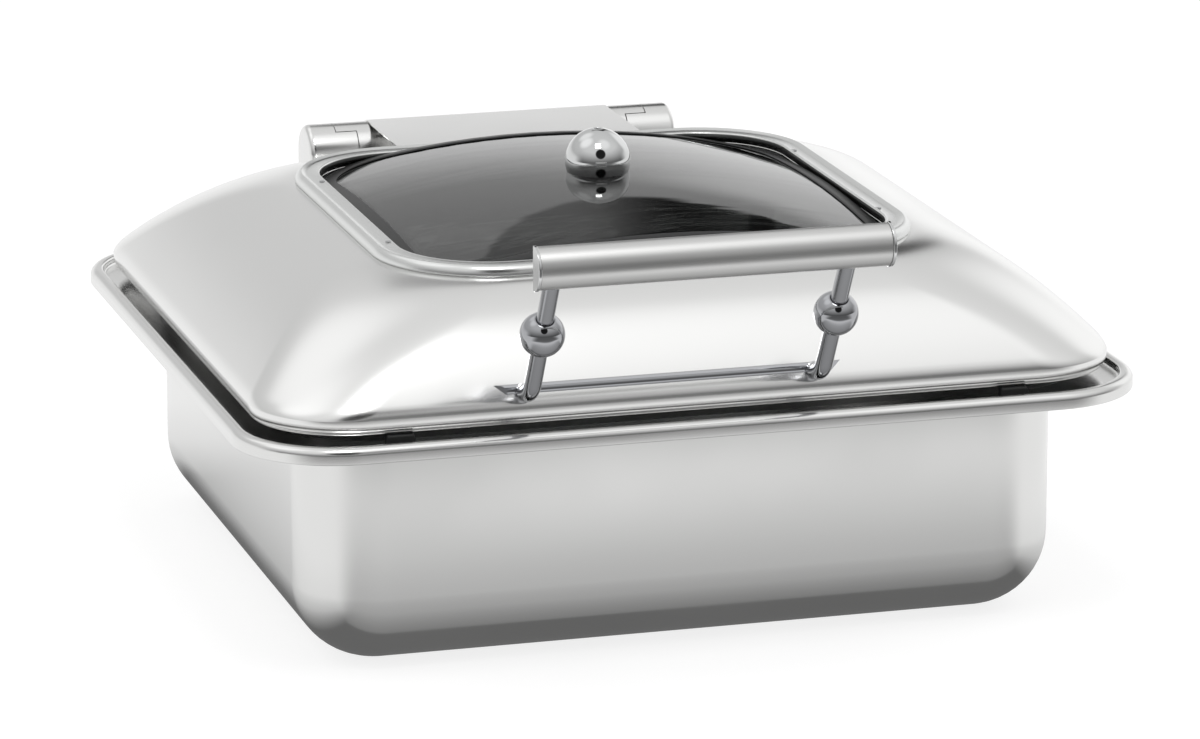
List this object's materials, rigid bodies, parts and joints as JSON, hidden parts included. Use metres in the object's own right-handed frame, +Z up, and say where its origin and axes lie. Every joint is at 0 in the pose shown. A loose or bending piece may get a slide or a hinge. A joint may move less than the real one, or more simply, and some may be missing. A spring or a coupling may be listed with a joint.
{
  "type": "chafing dish",
  "caption": "Rectangular stainless chafing dish: water pan, lift-out food pan and a domed lid with glass window, vent knob, raised front handle and damped rear hinge.",
  "frame": {"origin": "middle of the water pan's flat bottom, on the surface that the dish stands on", "axes": "+Z up, -Y towards the front with the handle, +X to the right seen from the front"},
  "size_m": [0.402, 0.4409, 0.2037],
  "materials": {
    "pan_steel": "polished",
    "food_pan_steel": "satin",
    "lid_steel": "polished",
    "frame_steel": "satin",
    "hinge_steel": "satin",
    "mirror_chrome": "mirror polished",
    "window_glass": "clear toughened",
    "gasket_rubber": "matt",
    "silicone": "matt",
    "damper_plastic": "moulded",
    "fastener_steel": "plain"
  },
  "bodies": {
    "base": {"water_pan": "pan_steel", "lid_bumpers": "silicone", "hinge_post_left": "hinge_steel", "hinge_post_right": "hinge_steel", "hinge_pin": "fastener_steel", "rear_bracket": "fastener_steel", "weld_studs": "fastener_steel", "bracket_nuts": "fastener_steel", "post_screws": "fastener_steel"},
    "lid": {"lid_shell": "lid_steel", "window_frame": "frame_steel", "window_glass": "window_glass", "window_gasket": "gasket_rubber", "window_retainer": "fastener_steel", "retainer_screws": "fastener_steel", "knob_seal": "silicone", "knob_cap": "mirror_chrome", "knob_seat": "mirror_chrome", "vent_stud": "fastener_steel", "knob_washer": "silicone", "knob_nut": "fastener_steel", "handle_rail": "mirror_chrome", "handle_leg_left": "mirror_chrome", "handle_leg_right": "mirror_chrome", "handle_ball_left": "mirror_chrome", "handle_ball_right": "mirror_chrome", "handle_grip": "frame_steel", "grip_core": "fastener_steel", "grip_cap_left": "frame_steel", "grip_cap_right": "frame_steel", "handle_plate": "fastener_steel", "handle_screws": "fastener_steel", "handle_washers": "fastener_steel", "hinge_knuckle_left": "hinge_steel", "hinge_knuckle_right": "hinge_steel", "hinge_arm": "hinge_steel", "damper_left": "damper_plastic", "damper_right": "damper_plastic", "hinge_cover": "lid_steel", "hinge_plate": "fastener_steel", "hinge_screws": "fastener_steel", "hinge_nuts": "fastener_steel"},
    "food": {"food_pan": "food_pan_steel"}
  },
  "joints": [
    {"name": "lid_hinge", "type": "hinge", "parent": "base", "child": "lid", "pos_m": [0, 0.182, 0.15], "axis": [-1, 0, 0], "range_deg": [0, 90]},
    {"name": "food_pan_lift", "type": "slide", "parent": "base", "child": "food", "axis": [0, 0, 1], "range_m": [0, 0.012]}
  ]
}
